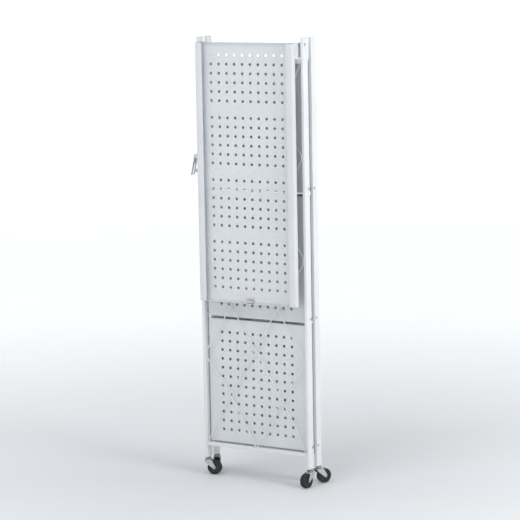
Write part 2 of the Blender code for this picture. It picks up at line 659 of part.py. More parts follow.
def make_caster(frame, side):
    key = f"{frame}_{side}"
    origin = (SIDES[side] * POST_X, FRAMES[frame] * CASTER_Y, 0)
    spin = Matrix.Rotation(math.radians(CASTER_TURN[key]), 4, "Z")
    # stem: fixed in the foot of the post, carries the swivel race
    finish(turned(f"{key}_caster_stem", STEM, 12, origin), "zinc")
    fork = make_fork(key, origin, spin)
    hub = tuple(Vector(origin) + spin @ Vector((TRAIL, 0, AXLE_Z)))
    lie = spin @ Matrix.Rotation(math.pi / 2, 4, "X")
    axle = turned(f"{key}_caster_axle", AXLE, 8, hub, lie)
    finish(axle, "zinc")
    wheel = turned(f"{key}_caster_wheel", WHEEL, 24, hub, lie, ring=True)
    finish(wheel, "rubber")
    swivel = pivot(f"pivot_{key}_swivel", (*origin[:2], SWIVEL_Z), spin)
    axle_pivot = pivot(f"pivot_{key}_axle", hub, spin)
    carry(swivel, fork, axle)
    carry(axle_pivot, wheel)
    carry(swivel, axle_pivot)


for frame in FRAMES:
    for side in SIDES:
        make_caster(frame, side)

# the whole rack is set over the origin
for ob in bpy.data.objects:
    if ob.parent is None:
        ob.matrix_world = Matrix.Translation(Vector(SHIFT) * MM) @ ob.matrix_world
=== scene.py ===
"""A folding rack on four casters: three shelves, a top board and two wire-filled frames.

It is shown folded: each shelf's front and rear tray stand upright between the frames, and the
top board hangs before the front frame.  x runs from left to right, y from front to rear, z up.
Lengths are millimetres in the rack's own frame unless a comment says otherwise.
"""
import math
import random

import bmesh
import bpy
from mathutils import Matrix, Vector


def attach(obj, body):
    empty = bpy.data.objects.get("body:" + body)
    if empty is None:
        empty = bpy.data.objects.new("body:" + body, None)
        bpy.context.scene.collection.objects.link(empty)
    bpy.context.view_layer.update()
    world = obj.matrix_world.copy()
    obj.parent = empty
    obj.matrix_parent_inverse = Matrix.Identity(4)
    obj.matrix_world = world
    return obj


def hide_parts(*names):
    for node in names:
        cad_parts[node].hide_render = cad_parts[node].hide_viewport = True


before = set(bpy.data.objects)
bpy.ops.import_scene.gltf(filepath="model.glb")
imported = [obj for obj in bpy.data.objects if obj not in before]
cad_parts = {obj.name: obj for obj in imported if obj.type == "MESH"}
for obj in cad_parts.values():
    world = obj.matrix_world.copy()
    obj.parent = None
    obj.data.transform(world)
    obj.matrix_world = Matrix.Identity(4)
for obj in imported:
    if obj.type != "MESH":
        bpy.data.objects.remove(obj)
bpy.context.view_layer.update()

MM = 0.001
RACK_OFFSET = (5.4, 5.9, -6.0)      # the rack's own middle in the loaded frame
FRAMES = (("front", -1), ("rear", 1))
SIDES = (("left", -1), ("right", 1))

# shelf pivots and hinges
PIVOT_Y = 15.0
PIVOT_ZS = (115.0, 470.0, 825.0)
HINGE_RISE = 337.5                  # from a shelf's pivots up to its hinge rod
PIVOT_BORE_R = 2.35

# top board hinge
TOP_HINGE_Y, TOP_HINGE_Z = -24.5, 1214.0
EAR_BORE_R = 2.9

# punched holes, shared by trays and board
PITCH = 25.0
HOLE_R = 4.0
HOLE_SIDES = 20
CELL_XS = [-125.0 + PITCH * i for i in range(11)]
HOLE_XS = [x + PITCH / 2 for x in CELL_XS[:-1]]

rng = random.Random(11)


# ------------------------------------------------------------------ points and outlines
def rack_point(p):
    """A rack point in mm as scene metres."""
    return Vector([(value + offset) * MM for value, offset in zip(p, RACK_OFFSET)])


def arc(cx, cy, radius, degrees):
    return [(cx + radius * math.cos(math.radians(a)), cy + radius * math.sin(math.radians(a)))
            for a in degrees]


def circle(cx, cy, radius, sides, start=0.0):
    return arc(cx, cy, radius, [start + 360.0 * k / sides for k in range(sides)])


def mirrored(half):
    """A lathe profile completed by its mirror image across height zero."""
    return half + [(radius, -height) for radius, height in reversed(half)]


def along_x(sign=1):
    """Lays a lathe's axis along +x or -x."""
    return Matrix.Rotation(sign * math.pi / 2, 4, "Y")


# ------------------------------------------------------------------ mesh helpers
def add_row(bm, points):
    return [bm.verts.new(rack_point(p)) for p in points]


def strip(bm, a, b):
    """Faces between two equal rows of verts."""
    for k in range(len(a) - 1):
        bm.faces.new((a[k], a[k + 1], b[k + 1], b[k]))


def extend(bm, row, points):
    """Carries a sheet on from a row of verts to a new row, and returns the new row."""
    new = add_row(bm, points)
    strip(bm, row, new)
    return new


def join_loops(bm, a, b):
    """Faces between two equal closed loops of verts."""
    for k in range(len(a)):
        j = (k + 1) % len(a)
        bm.faces.new((a[k], b[k], b[j], a[j]))


def add_face(bm, loop, flip):
    bm.faces.new(list(reversed(loop)) if flip else loop)


def pierce(bm, corners, ring, flip=False):
    """Fills a four-cornered cell around a ring whose first vert is nearest the first corner."""
    quarter = len(ring) // 4
    for side in range(4):
        rim = [ring[(side * quarter + n) % len(ring)] for n in range(quarter + 1)]
        add_face(bm, [corners[side], corners[(side + 1) % 4]] + rim[::-1], flip)


def add_box(bm, corner, opposite, bevel):
    spans = [sorted(pair) for pair in zip(corner, opposite)]
    low, high = (rack_point(p) for p in zip(*spans))
    place = Matrix.Translation((low + high) / 2) @ Matrix.Diagonal((*(high - low), 1))
    verts = bmesh.ops.create_cube(bm, size=1.0, matrix=place)["verts"]
    edges = list({e for v in verts for e in v.link_edges})
    bmesh.ops.bevel(bm, geom=edges, offset=bevel * MM, segments=1, affect="EDGES", profile=0.5)


def add_lathe(bm, profile, place, sides, ring=False):
    """Turns a (radius, height) profile; place takes the piece's own metres to the scene.
    A ring joins the profile's last point to its first."""
    rings = []
    for radius, height in profile:
        outline = circle(0, 0, radius * MM, sides) if radius else [(0, 0)]
        rings.append([bm.verts.new(place @ Vector((x, y, height * MM))) for x, y in outline])
    pairs = list(zip(rings, rings[1:]))
    if ring:
        pairs.append((rings[-1], rings[0]))
    for a, b in pairs:
        if len(a) > 1 and len(b) > 1:
            join_loops(bm, a, b)
            continue
        for k in range(sides):
            j = (k + 1) % sides
            bm.faces.new((a[0], b[k], b[j]) if len(a) == 1 else (a[k], b[0], a[j]))


def add_wire(bm, points, radius, sides=12):
    """A round wire lying in a plane of constant y, mitred at its bends, closed at both ends."""
    centres = [rack_point(p) for p in points]
    legs = [(b - a).normalized() for a, b in zip(centres, centres[1:])]
    depth = Vector((0, 1, 0))
    rings = []
    for centre, before, after in zip(centres, legs[:1] + legs, legs + legs[-1:]):
        along = (before + after).normalized()
        across = along.cross(depth) / along.dot(before)
        rings.append([bm.verts.new(centre + (depth * u + across * w) * radius * MM)
                      for u, w in circle(0, 0, 1, sides)])
    for a, b in zip(rings, rings[1:]):
        join_loops(bm, a, b)
    bm.faces.new(list(reversed(rings[0])))
    bm.faces.new(rings[-1])


def add_nugget(bm, centre, radii, uneven=0.0):
    """A blob of weld; uneven is the spread of each vert's reach."""
    for vert in bmesh.ops.create_icosphere(bm, subdivisions=2, radius=1.0)["verts"]:
        reach = 1.0 + uneven * (rng.random() - 0.5) if uneven else 1.0
        vert.co = rack_point([c + v * r * reach for c, v, r in zip(centre, vert.co, radii)])


def punched_sheet(bm, xs, zs, y, hole_zs, outward):
    """A sheet in the plane y, split on xs and zs; a cell centred on a hole is pierced.
    outward is the sign of the outward y.  Returns the corner verts by column and row."""
    holes = {(round(x, 1), round(z, 1)) for x in HOLE_XS for z in hole_zs}
    flip = outward > 0
    grid = {}
    for i, x in enumerate(xs):
        for k, z in enumerate(zs):
            grid[i, k] = bm.verts.new(rack_point((x, y, z)))
    for i in range(len(xs) - 1):
        for k in range(len(zs) - 1):
            corners = [grid[i, k], grid[i + 1, k], grid[i + 1, k + 1], grid[i, k + 1]]
            mid_x, mid_z = (xs[i] + xs[i + 1]) / 2, (zs[k] + zs[k + 1]) / 2
            if (round(mid_x, 1), round(mid_z, 1)) not in holes:
                add_face(bm, corners, flip)
                continue
            rim = circle(mid_x, mid_z, HOLE_R, HOLE_SIDES, start=-135)
            pierce(bm, corners, add_row(bm, [(x, y, z) for x, z in rim]), flip)
    return grid


def thicken(bm, thickness, outward):
    """Faces a shell outward along y and gives it its sheet thickness, measured inwards."""
    bmesh.ops.recalc_face_normals(bm, faces=bm.faces)
    largest = max(bm.faces, key=lambda f: f.calc_area())
    if largest.normal.y * outward < 0:
        bmesh.ops.reverse_faces(bm, faces=bm.faces)
    mesh = bpy.data.meshes.new("shell")
    bm.to_mesh(mesh)
    bm.free()
    shell = bpy.data.objects.new("shell", mesh)
    bpy.context.scene.collection.objects.link(shell)
    solidify = shell.modifiers.new("sheet", "SOLIDIFY")
    solidify.thickness = thickness * MM
    solidify.offset = -1.0
    solidify.use_even_offset = True
    bpy.context.view_layer.update()
    evaluated = shell.evaluated_get(bpy.context.evaluated_depsgraph_get())
    solid = bmesh.new()
    solid.from_mesh(evaluated.to_mesh())
    evaluated.to_mesh_clear()
    bpy.data.objects.remove(shell, do_unlink=True)
    bpy.data.meshes.remove(mesh)
    return solid


def mesh_object(name, bm):
    """Turns a bmesh into a smooth-shaded object in the scene."""
    bmesh.ops.recalc_face_normals(bm, faces=bm.faces)
    mesh = bpy.data.meshes.new(name)
    bm.to_mesh(mesh)
    bm.free()
    for polygon in mesh.polygons:
        polygon.use_smooth = True
    ob = bpy.data.objects.new(name, mesh)
    bpy.context.scene.collection.objects.link(ob)
    return ob


def piece(name, bm, material, body, replaces=None, sharp=35.0):
    """A finished piece that rides on a body; edges over sharp degrees stay crisp."""
    ob = mesh_object(name, bm)
    ob.data.set_sharp_from_angle(angle=math.radians(sharp))
    ob.data.materials.append(material)
    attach(ob, body)
    if replaces:
        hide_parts(replaces)


# ------------------------------------------------------------------ materials
def shade(tint, *factors):
    """A tint darkened by one factor, or by one factor per channel."""
    if len(factors) == 1:
        factors *= 3
    return tuple(c * f for c, f in zip(tint, factors))


class Surface:
    """A material being built around its principled shader.  Lengths are metres."""

    def __init__(self, name):
        self.material = bpy.data.materials.new(name)
        self.material.use_nodes = True
        self.tree = self.material.node_tree
        self.shader = self.tree.nodes["Principled BSDF"]
        self.coords = self.add("ShaderNodeTexCoord").outputs["Object"]

    def add(self, kind, inputs=None, **settings):
        node = self.tree.nodes.new(kind)
        for key, value in settings.items():
            setattr(node, key, value)
        for key, value in (inputs or {}).items():
            self.put(value, node.inputs[key])
        return node

    def put(self, value, socket):
        """Links a socket, or sets a number or a colour."""
        if isinstance(value, bpy.types.NodeSocket):
            self.tree.links.new(value, socket)
        elif isinstance(value, tuple):
            socket.default_value = (*value, 1.0)
        else:
            socket.default_value = value

    def set(self, name, value):
        self.put(value, self.shader.inputs[name])

    def noise(self, scale, detail, roughness=0.5):
        return self.add("ShaderNodeTexNoise", {"Vector": self.coords, "Scale": scale,
                        "Detail": detail, "Roughness": roughness}).outputs["Fac"]

    def remap(self, source, to=(0.0, 1.0), over=(0.35, 0.65), **settings):
        """Maps the range over onto the range to."""
        inputs = {"Value": source, "From Min": over[0], "From Max": over[1],
                  "To Min": to[0], "To Max": to[1]}
        return self.add("ShaderNodeMapRange", inputs, **settings).outputs["Result"]

    def mix(self, factor, a, b):
        # inputs 0, 6 and 7 are the factor and the two colours
        inputs = {0: factor, 6: a, 7: b}
        return self.add("ShaderNodeMix", inputs, data_type="RGBA").outputs[2]

    def multiply(self, a, b):
        return self.add("ShaderNodeMath", {0: a, 1: b}, operation="MULTIPLY").outputs[0]

    def occlusion_shade(self, distance, amount, over):
        """Painted shade: amount where surfaces meet, 0 in the open."""
        node = self.add("ShaderNodeAmbientOcclusion", {"Distance": distance}, samples=4)
        return self.remap(node.outputs["AO"], to=(amount, 0.0), over=over)

    def edges(self, radius):
        """1 on rounded-over edges, 0 on flats."""
        bevel = self.add("ShaderNodeBevel", {"Radius": radius}, samples=3).outputs["Normal"]
        flat = self.add("ShaderNodeNewGeometry").outputs["Normal"]
        dot = self.add("ShaderNodeVectorMath", {0: bevel, 1: flat}, operation="DOT_PRODUCT")
        return self.remap(dot.outputs["Value"], to=(1.0, 0.0), over=(0.86, 0.985))

    def bump(self, height, strength, distance):
        node = self.add("ShaderNodeBump",
                        {"Height": height, "Strength": strength, "Distance": distance})
        self.set("Normal", node.outputs["Normal"])


# dust sets how strongly dust and painted shade darken the coat where surfaces meet
def powder_coat(name, tint, rough, wear, dust=0.45):
    s = Surface(name)
    soft = s.noise(scale=9.0, detail=3.0)
    peel = s.noise(scale=900.0, detail=2.0)
    scuff = s.noise(scale=55.0, detail=7.0, roughness=0.72)
    color = s.mix(s.remap(soft, over=(0.3, 0.7)), shade(tint, 0.955), tint)
    # painted shade and dust: the colour darkens where surfaces meet
    corners = s.occlusion_shade(distance=0.006, amount=dust, over=(0.25, 0.95))
    color = s.mix(corners, color, shade(tint, 0.74, 0.73, 0.71))
    # rubbed edges show a little grey metal where the coat is thin
    edges = s.edges(radius=0.0006)
    chips = s.remap(scuff, over=(0.56, 0.66))
    bare_metal = (0.42, 0.43, 0.44)
    color = s.mix(s.multiply(s.multiply(edges, chips), wear), color, bare_metal)
    s.set("Base Color", color)
    s.set("Roughness", s.remap(scuff, to=(rough - 0.07, rough + 0.10), over=(0.3, 0.7)))
    s.set("Coat Weight", 0.12)
    s.set("Coat Roughness", 0.3)
    s.bump(peel, strength=0.10, distance=0.0002)
    return s.material


def zinc_plate(name, tint=(0.62, 0.63, 0.65), rough=0.24, crevice_shade=0.6):
    s = Surface(name)
    spangle = s.add("ShaderNodeTexVoronoi", {"Vector": s.coords, "Scale": 260.0})
    haze = s.noise(scale=70.0, detail=5.0, roughness=0.6)
    fine = s.noise(scale=1500.0, detail=2.0)
    grey = s.add("ShaderNodeRGBToBW", {0: spangle.outputs["Color"]}).outputs[0]
    color = s.mix(s.remap(grey, over=(0.2, 0.8)), shade(tint, 0.88), tint)
    yellowed, crevice_shade_tint = (0.66, 0.63, 0.56), (0.16, 0.15, 0.14)
    color = s.mix(s.remap(haze, to=(0.0, 0.45), over=(0.45, 0.75)), color, yellowed)
    # painted shade: the colour darkens towards a dark brown where surfaces meet
    color = s.mix(s.occlusion_shade(distance=0.004, amount=crevice_shade, over=(0.2, 0.9)), color, crevice_shade_tint)
    s.set("Base Color", color)
    s.set("Metallic", 1.0)
    s.set("Roughness", s.remap(haze, to=(rough - 0.06, rough + 0.16), over=(0.3, 0.7)))
    s.bump(fine, strength=0.12, distance=0.0001)
    return s.material


def rubber(name):
    s = Surface(name)
    dust = s.noise(scale=120.0, detail=6.0, roughness=0.65)
    grain = s.noise(scale=2200.0, detail=3.0)
    black, dusty = (0.014, 0.014, 0.016), (0.07, 0.068, 0.065)
    s.set("Base Color", s.mix(s.remap(dust, to=(0.0, 0.45), over=(0.5, 0.75)), black, dusty))
    s.set("Roughness", s.remap(dust, to=(0.52, 0.82), over=(0.3, 0.7)))
    s.bump(grain, strength=0.35, distance=0.0002)
    return s.material


def moulded(name, tint, rough):
    s = Surface(name)
    blotch = s.noise(scale=60.0, detail=4.0)
    grain = s.noise(scale=1800.0, detail=2.0)
    s.set("Base Color", s.mix(s.remap(blotch, over=(0.3, 0.7)), shade(tint, 0.93), tint))
    s.set("Roughness", s.remap(blotch, to=(rough - 0.05, rough + 0.1)))
    s.bump(grain, strength=0.2, distance=0.0001)
    return s.material


RACK_COAT = powder_coat("rack_powder_coat", tint=(0.77, 0.785, 0.80),
                        rough=0.40, wear=0.55, dust=0.25)
TRAY_COAT = powder_coat("tray_powder_coat", tint=(0.70, 0.718, 0.745), rough=0.44, wear=0.45)
ZINC = zinc_plate("zinc_plate")
RIVET_ZINC = zinc_plate("rivet_zinc", tint=(0.50, 0.50, 0.51), rough=0.30)
LATCH_ZINC = zinc_plate("latch_zinc", tint=(0.74, 0.745, 0.755), rough=0.36, crevice_shade=0.25)
RUBBER = rubber("tyre_rubber")
HUB_NYLON = moulded("hub_nylon", tint=(0.026, 0.027, 0.03), rough=0.42)
CAP_PLASTIC = moulded("cap_plastic", tint=(0.74, 0.755, 0.77), rough=0.42)
WELD_COAT = powder_coat("coated_weld", tint=(0.74, 0.76, 0.785), rough=0.5, wear=0.2)


# ------------------------------------------------------------------ shelf trays
TRAY_HALF = 156.0                   # half width, to the outside of the side flanges
TRAY_FACE = 20.5                    # the punched face's distance from the y = 0 plane
TRAY_BEND = 1.6
TRAY_SHEET = 1.0
# x span of each hinge knuckle
KNUCKLES = {
    "front": [(-153.8, -140.2), (-8.0, 8.0), (140.2, 153.8)],
    "rear": [(-139.4, -125.8), (-22.4, -8.8), (8.8, 22.4), (125.8, 139.4)],
}


def tray_flange(bm, edge, side, outward, zs, pivot_z):
    """Bends a side of the face inwards into a flange, bored for the pivot rivet."""
    def line(x, depths):
        return [(side * x, outward * depth, z) for depth, z in zip(depths, zs)]

    count = len(zs)
    for x, depth in arc(TRAY_HALF - TRAY_BEND, TRAY_FACE - TRAY_BEND, TRAY_BEND, (60, 30, 0)):
        edge = extend(bm, edge, line(x, [depth] * count))
    # the flange's free edge slopes away below the pivot
    depths = ([TRAY_FACE - TRAY_BEND - 1.2] * count, [10.3] * count,
              [10.0, 5.5] + [1.0] * (count - 2))
    root, middle, free = [add_row(bm, line(TRAY_HALF, row)) for row in depths]
    strip(bm, edge, root)
    strip(bm, middle, free)
    pivot_cell = 1
    for k in range(count - 1):
        corners = [root[k], root[k + 1], middle[k + 1], middle[k]]
        if k != pivot_cell:
            bm.faces.new(corners)
            continue
        bore = circle(PIVOT_Y, pivot_z, PIVOT_BORE_R, 20, start=-45)
        ring = add_row(bm, [(side * TRAY_HALF, outward * y, z) for y, z in bore])
        pierce(bm, corners, ring)


def add_knuckle(bm, x0, x1, outward, hinge_z, top):
    """A rolled hinge knuckle with the leaf that carries it."""
    half = (x1 - x0) / 2
    place = Matrix.Translation(rack_point(((x0 + x1) / 2, 0, hinge_z))) @ along_x()
    profile = mirrored([(1.75, half - 0.1), (2.6, half), (3.0, half - 0.4)])
    add_lathe(bm, profile, place, 20, ring=True)
    add_box(bm, (x0 + 0.2, outward * 4.4, top - 1.05), (x1 - 0.2, outward * 1.6, top - 0.05),
            bevel=0.15)


def tray(level, which, outward):
    pivot_z = PIVOT_ZS[level]
    hinge_z = pivot_z + HINGE_RISE
    top = hinge_z - (2.0 if level == 1 else 0.3)
    cell_zs = [pivot_z + PITCH / 2 + PITCH * k for k in range(13)]
    hole_zs = [z + PITCH / 2 for z in cell_zs[:-1]]
    face_half = TRAY_HALF - TRAY_BEND
    xs = [-face_half] + CELL_XS + [face_half]
    zs = [pivot_z + rise for rise in (-10.2, -10.0, -5.0, 5.0)] + cell_zs + [top - TRAY_BEND]
    bm = bmesh.new()
    grid = punched_sheet(bm, xs, zs, outward * TRAY_FACE, hole_zs, outward)
    last_x, last_z = len(xs) - 1, len(zs) - 1
    # the side flanges start one row up, which leaves a small relief at each lower corner
    for side, i in ((-1, 0), (1, last_x)):
        edge = [grid[i, k] for k in range(1, last_z + 1)]
        tray_flange(bm, edge, side, outward, zs[1:], pivot_z)
    # top bend and flange
    edge = [grid[i, last_z] for i in range(last_x + 1)]
    bend = arc(TRAY_FACE - TRAY_BEND, top - TRAY_BEND, TRAY_BEND, (30, 60, 90))
    for depth, z in bend + [(3.9, top)]:
        edge = extend(bm, edge, [(x, outward * depth, z) for x in xs])
    bm = thicken(bm, TRAY_SHEET, outward)
    for x0, x1 in KNUCKLES[which]:
        add_knuckle(bm, x0, x1, outward, hinge_z, top)
    name = f"shelf_{level + 1}_{which}_tray"
    body = f"tray_{which}_l{level + 1}"
    piece(name + "_sheet", bm, TRAY_COAT, body, replaces=name)
    # a narrow strip behind the face along each side
    bm = bmesh.new()
    for side in (-1, 1):
        add_box(bm, (side * 154.9, outward * 19.4, pivot_z + 8),
                (side * 149.4, outward * 18.5, top - 4), bevel=0.25)
    piece(name + "_hem", bm, TRAY_COAT, body)


for level in range(3):
    for which, outward in FRAMES:
        tray(level, which, outward)


# ------------------------------------------------------------------ top board
BOARD_HALF = 154.0
BOARD_DECK, BOARD_LIP = -49.0, -65.0        # y of the punched face and of the folded lips
BOARD_BOTTOM, BOARD_TOP = 507.0, 1219.5
BOARD_BEND = 1.8
BOARD_SHEET = 1.05
BLOCKS, BLOCK_ROWS = 4, 6                   # the holes stand in blocks of rows
BLOCK_STEP = BLOCK_ROWS * PITCH + 20.8
TOP_HOLE_Z = 1185.0


def add_ear(bm, side):
    """A flat hinge ear at a top corner, reaching rearwards from the deck."""
    root_y, tip_y, bottom, top = -49.6, -17.0, 1178.5, 1219.3
    low_r, high_r = 8.0, 4.0
    outline = ([(root_y, bottom)]
               + arc(tip_y - low_r, bottom + low_r, low_r, range(-90, 1, 10))
               + arc(tip_y - high_r, top - high_r, high_r, range(0, 91, 15))
               + [(root_y, top)])
    bore = circle(TOP_HINGE_Y, TOP_HINGE_Z, EAR_BORE_R, 24)
    faces = []
    for x in (153.95, 152.8):
        loops = [add_row(bm, [(side * x, y, z) for y, z in line]) for line in (outline, bore)]
        edges = [bm.edges.new((q[k], q[(k + 1) % len(q)])) for q in loops for k in range(len(q))]
        bmesh.ops.triangle_fill(bm, edges=edges, use_beauty=True, use_dissolve=False)
        faces.append(loops)
    for outer, inner in zip(*faces):
        join_loops(bm, outer, inner)


def top_board():
    hole_zs = [TOP_HOLE_Z - BLOCK_STEP * block - PITCH * row
               for block in range(BLOCKS) for row in range(BLOCK_ROWS)]
    cell_zs = sorted(TOP_HOLE_Z + PITCH / 2 - BLOCK_STEP * block - PITCH * row
                     for block in range(BLOCKS) for row in range(BLOCK_ROWS + 1))
    bend = BOARD_BEND
    face_half = BOARD_HALF - bend
    xs = [-face_half] + CELL_XS + [face_half]
    zs = [BOARD_BOTTOM + bend] + cell_zs + [BOARD_TOP - bend]
    bm = bmesh.new()
    grid = punched_sheet(bm, xs, zs, BOARD_DECK, hole_zs, 1)
    last_x, last_z = len(xs) - 1, len(zs) - 1
    # side walls run forwards and turn inwards into lips; section columns are x, y
    section = (arc(face_half, BOARD_DECK - bend, bend, (60, 30, 0))
               + [(BOARD_HALF, BOARD_LIP + bend)]
               + arc(face_half, BOARD_LIP + bend, bend, (-30, -60, -90))
               + [(133.9, BOARD_LIP), (133.0, BOARD_LIP + 0.4)])
    for side, i in ((-1, 0), (1, last_x)):
        edge = [grid[i, k] for k in range(last_z + 1)]
        for x, y in section:
            edge = extend(bm, edge, [(side * x, y, z) for z in zs])
    # bottom and top walls
    for end_z, up, k in ((BOARD_BOTTOM, -1, 0), (BOARD_TOP, 1, last_z)):
        edge = [grid[i, k] for i in range(last_x + 1)]
        corner = arc(BOARD_DECK - bend, end_z - up * bend, bend, (up * 30, up * 60, up * 90))
        for y, z in corner + [(-57.5, end_z)]:
            edge = extend(bm, edge, [(x, y, z) for x in xs])
    bm = thicken(bm, BOARD_SHEET, 1)
    for side in (-1, 1):
        add_ear(bm, side)
    piece("top_board_sheet", bm, TRAY_COAT, "top_board", replaces="top_board")


top_board()


# ------------------------------------------------------------------ wire panels
PANEL_Y = 31.9
PANEL_BOTTOM, PANEL_TOP, PANEL_MID = 101.2, 1161.9, 631.5
PANEL_HALF = 159.0
WIRE_R = 1.4
# lower half of each kind of wire, x and z from the lower crossbar up; the upper half mirrors it
CROSSING_WIRE = [(157.6, PANEL_BOTTOM), (126.0, 171.0), (16.0, 352.0), (-51.5, 456.5),
                 (-75.3, 495.5), (-157.6, 619.5), (-PANEL_HALF, 624.5)]
KNEED_WIRE = [(2.2, PANEL_BOTTOM), (83.0, 241.0), (155.6, 340.0), (PANEL_HALF, 345.5),
              (PANEL_HALF, 358.5), (155.6, 364.0), (97.0, 457.0), (75.3, 495.5),
              (-1.0, PANEL_MID)]


def above(z):
    """A height mirrored across the panel's middle."""
    return 2 * PANEL_MID - z


def panel_wires(which, outward):
    crossing = CROSSING_WIRE + [(x, above(z)) for x, z in reversed(CROSSING_WIRE)]
    kneed = KNEED_WIRE + [(x, above(z)) for x, z in reversed(KNEED_WIRE[:-1])]
    bm = bmesh.new()
    # path, sign of x, and how far the wire is set inwards
    for path, side, inset in ((crossing, -1, 0.0), (crossing, 1, 0.13),
                              (kneed, 1, -0.21), (kneed, -1, 0.34)):
        y = outward * (PANEL_Y - inset)
        add_wire(bm, [(side * x, y, z) for x, z in path], WIRE_R)
    piece(f"{which}_wire_panel", bm, TRAY_COAT, f"frame_{which}",
          replaces=f"{which}_wire_lattice", sharp=45)


def panel_welds(which, outward):
    """Nuggets on the crossbars, on the posts and at the crossings."""
    spots = []                      # x, z, x radius, z radius
    for z in (PANEL_BOTTOM - 0.2, PANEL_TOP + 0.2):
        spots += [(x, z, 2.1, 0.9) for x in (-157.6, 157.6, -2.2, 2.2)]
    for z, reach in ((352.0, 5.0), (PANEL_MID, 5.5), (above(352.0), 5.0)):
        for side in (-1, 1):
            for rise in (-reach, reach):
                spots.append((side * (PANEL_HALF + 1.2), z + rise, 1.1, 2.6))
    for z in (495.5, above(495.5)):
        spots += [(-75.3, z, 1.7, 1.9), (75.3, z, 1.7, 1.9)]
    spots += [(0.0, z, 1.7, 1.9) for z in (378.5, above(378.5))]
    spots.append((0.0, PANEL_MID, 1.8, 2.6))
    bm = bmesh.new()
    for x, z, radius_x, radius_z in spots:
        add_nugget(bm, (x, outward * PANEL_Y, z), (radius_x, 1.35, radius_z), uneven=0.12)
    piece(f"{which}_panel_welds", bm, WELD_COAT, f"frame_{which}", sharp=60)


for which, outward in FRAMES:
    panel_wires(which, outward)
    panel_welds(which, outward)


# ------------------------------------------------------------------ rivets
RIVET_SEAT_X = 170.0                # the plane under the outer heads
RIVET_GRIP = 9.0                    # from that plane in to the collar
RIVET_GAP = 0.3
FLANGE_GRIP = 1.2                   # sheet thickness held by the inner head
PIVOT_RIVET = dict(shank=2.0, head=3.6, inner=3.6, flange_x=TRAY_HALF, collar=3.5)
HINGE_RIVET = dict(shank=2.5, head=4.2, inner=4.5, flange_x=BOARD_HALF, collar=4.5)


def rivet(name, side, y, z, shank, head, inner, flange_x, collar):
    """A domed rivet lying along x with a collar; heights run outwards from the flange."""
    seat = RIVET_SEAT_X - flange_x + RIVET_GAP
    collar_top = RIVET_SEAT_X - flange_x - RIVET_GRIP - RIVET_GAP
    tail = -FLANGE_GRIP - RIVET_GAP
    dome = [(head * math.sin(math.radians(a)), seat + 0.35 + 1.25 * math.cos(math.radians(a)))
            for a in (18, 36, 54, 72)]
    profile = [(0, seat + 1.6)] + dome + [
        (head, seat + 0.35), (head, seat), (shank, seat), (shank, collar_top),
        (collar - 0.25, collar_top), (collar, collar_top - 0.3), (collar, RIVET_GAP + 0.3),
        (collar - 0.25, RIVET_GAP), (shank, RIVET_GAP), (shank, tail), (inner, tail),
        (inner, tail - 0.5), (inner * 0.75, tail - 1.1), (inner * 0.4, tail - 1.4),
        (inner * 0.3, tail - 0.9), (0, tail - 0.9)]
    bm = bmesh.new()
    place = Matrix.Translation(rack_point((side * flange_x, y, z))) @ along_x(side)
    add_lathe(bm, profile, place, 24)
    body = "frame_front" if y < 0 else "frame_rear"
    piece(name + "_turned", bm, RIVET_ZINC, body, replaces=name, sharp=40)


for which, outward in FRAMES:
    for hand, side in SIDES:
        for i, z in enumerate(PIVOT_ZS):
            rivet(f"{which}_{hand}_pivot_rivet_{i + 1}", side, outward * PIVOT_Y, z,
                  **PIVOT_RIVET)
for hand, side in SIDES:
    rivet(f"top_{hand}_hinge_rivet", side, TOP_HINGE_Y, TOP_HINGE_Z, **HINGE_RIVET)


# ------------------------------------------------------------------ casters
CASTER_X, CASTER_Y = 165.5, 22.0
CASTER_TURN = {"front_left": 17.0, "front_right": -97.0,    # degrees about the stem
               "rear_left": 125.0, "rear_right": 65.0}
WHEEL_OFFSET = (18.0, 0.0, 26.0)    # wheel centre in the turned caster's frame
WHEEL_R, WHEEL_HALF = 20.0, 8.0
AXLE_HALF = 10.2 + 0.3              # to the seats of the bolt's head and nut
# radius and height above the foot of the turned stem, its swivel race and lock ring
STEM_PROFILE = [
    (0, 84.0), (2.7, 84.0), (3.1, 83.3), (3.1, 55.7), (7.3, 55.7), (7.6, 55.3), (7.6, 54.4),
    (7.2, 54.0), (4.6, 53.8), (4.6, 53.3), (6.8, 53.1), (9.0, 52.5), (9.8, 51.9), (10.0, 51.2),
    (9.7, 50.2), (8.5, 49.1), (3.1, 49.0), (3.1, 46.2), (4.6, 46.2), (4.6, 45.5), (4.0, 45.0),
    (0, 45.0)]
# radius and inset from the wheel's side face
TYRE_WALL = [(13.6, 1.9), (14.4, 0.6), (16.2, 0.05)]
HUB_FACE = [(2.75, 0.1), (5.0, 0.1), (5.6, 0.6), (6.0, 2.4), (11.6, 3.0), (12.4, 1.7),
            (13.9, 1.6), (14.3, 2.2)]


def tyre(key, wheel):
    shoulder, drop = 2.6, 1.76      # the rounded shoulder's width and its full fall in radius
    crown = [(WHEEL_R - drop * (1 - math.cos(math.radians(a))),
              WHEEL_HALF - shoulder + shoulder * math.sin(math.radians(a)))
             for a in (85, 60, 30, 0)]
    groove_r = WHEEL_R - 0.35
    groove = [(WHEEL_R, 3.0), (groove_r, 2.6), (groove_r, 1.9), (WHEEL_R, 1.5)]
    wall = [(radius, WHEEL_HALF - inset) for radius, inset in TYRE_WALL]
    bm = bmesh.new()
    add_lathe(bm, mirrored(wall + crown + groove), wheel, 48, ring=True)
    piece(f"{key}_tyre", bm, RUBBER, f"{key}_wheel",
          replaces=f"{key}_caster_wheel", sharp=40)


